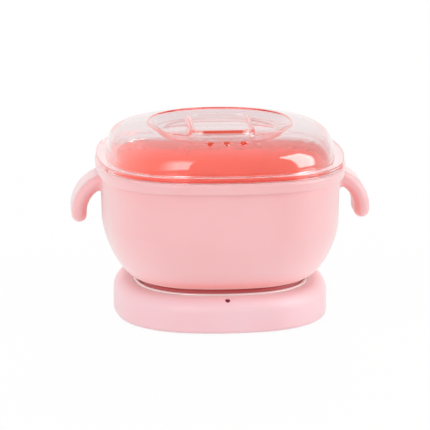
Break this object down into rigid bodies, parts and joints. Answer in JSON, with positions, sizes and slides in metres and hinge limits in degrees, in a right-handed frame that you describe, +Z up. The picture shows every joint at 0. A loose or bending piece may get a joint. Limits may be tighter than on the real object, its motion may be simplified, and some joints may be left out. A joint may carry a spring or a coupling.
{
  "type": "wax heater",
  "caption": "Wax heater: a soft pink pot with drooping ear handles stands on a rounded square heating base, under a clear domed lid with a sunken pinch grip.",
  "frame": {"origin": "on the table, under the middle of the base", "axes": "+Z up; the ears of the pot lie along X; the front with the indicator light faces -Y, the rear with the inlet and the button faces +Y"},
  "size_m": [0.1692, 0.1416, 0.1094],
  "materials": {
    "base_plastic": "satin",
    "ring_plastic": "satin",
    "gasket_silicone": "matt",
    "plate_aluminium": "fine turned",
    "mica_sheet": "flaky satin",
    "fibre_pad": "felted",
    "plated_steel": "zinc plated",
    "screw_steel": "zinc plated",
    "thermostat_case": "satin",
    "fuse_case": "drawn",
    "plated_brass": "nickel plated",
    "board_laminate": "solder mask",
    "terminal_plastic": "satin",
    "capacitor_case": "satin",
    "resistor_coat": "lacquered",
    "indicator_lens": "translucent",
    "inlet_plastic": "fine grain",
    "switch_plastic": "satin",
    "spring_steel": "drawn wire",
    "button_plastic": "satin",
    "plunger_plastic": "satin",
    "pink_silicone": "soft satin, slightly translucent",
    "clear_plastic": "clear polished",
    "foot_rubber": "matt",
    "blue_lead": "satin",
    "brown_lead": "satin",
    "white_lead": "woven sleeve"
  },
  "bodies": {
    "base": {"base_housing": "base_plastic", "base_cover": "base_plastic", "trim_ring": "ring_plastic", "plate_gasket": "gasket_silicone", "heating_plate": "plate_aluminium", "heater_sheet": "mica_sheet", "insulation_pad": "fibre_pad", "clamp_plate": "plated_steel", "thermostat_strap": "plated_steel", "fuse_clip": "plated_steel", "cover_screw_1": "screw_steel", "cover_screw_2": "screw_steel", "cover_screw_3": "screw_steel", "cover_screw_4": "screw_steel", "clamp_screw_1": "screw_steel", "clamp_screw_2": "screw_steel", "clamp_screw_3": "screw_steel", "clamp_screw_4": "screw_steel", "board_screw_1": "screw_steel", "board_screw_2": "screw_steel", "board_screw_3": "screw_steel", "board_screw_4": "screw_steel", "strap_screw_1": "screw_steel", "strap_screw_2": "screw_steel", "thermostat": "thermostat_case", "thermal_fuse": "fuse_case", "heater_tab_1": "plated_brass", "heater_tab_2": "plated_brass", "inlet_pin_1": "plated_brass", "inlet_pin_2": "plated_brass", "control_board": "board_laminate", "terminal_block": "terminal_plastic", "board_capacitor": "capacitor_case", "board_resistor_1": "resistor_coat", "board_resistor_2": "resistor_coat", "indicator_led": "indicator_lens", "light_pipe": "indicator_lens", "mains_inlet": "inlet_plastic", "power_switch": "switch_plastic", "switch_spring": "spring_steel", "rubber_foot_1": "foot_rubber", "rubber_foot_2": "foot_rubber", "rubber_foot_3": "foot_rubber", "rubber_foot_4": "foot_rubber", "neutral_lead": "blue_lead", "live_lead": "brown_lead", "switched_lead": "brown_lead", "thermostat_lead": "white_lead", "fuse_lead": "white_lead", "heater_lead": "white_lead"},
    "button": {"power_button": "button_plastic", "switch_plunger": "plunger_plastic"},
    "pot": {"silicone_pot": "pink_silicone"},
    "lid": {"clear_lid": "clear_plastic"}
  },
  "joints": [
    {"name": "pot_lift", "type": "slide", "parent": "base", "child": "pot", "axis": [0, 0, 1], "range_m": [0, 0.08]},
    {"name": "lid_lift", "type": "slide", "parent": "pot", "child": "lid", "axis": [0, 0, 1], "range_m": [0, 0.06]},
    {"name": "power_button_press", "type": "slide", "parent": "base", "child": "button", "axis": [0, -1, 0], "range_m": [0, 0.0016], "stiffness_N_per_m": 800, "springref_m": -0.001, "deforming": ["switch_spring"]}
  ]
}
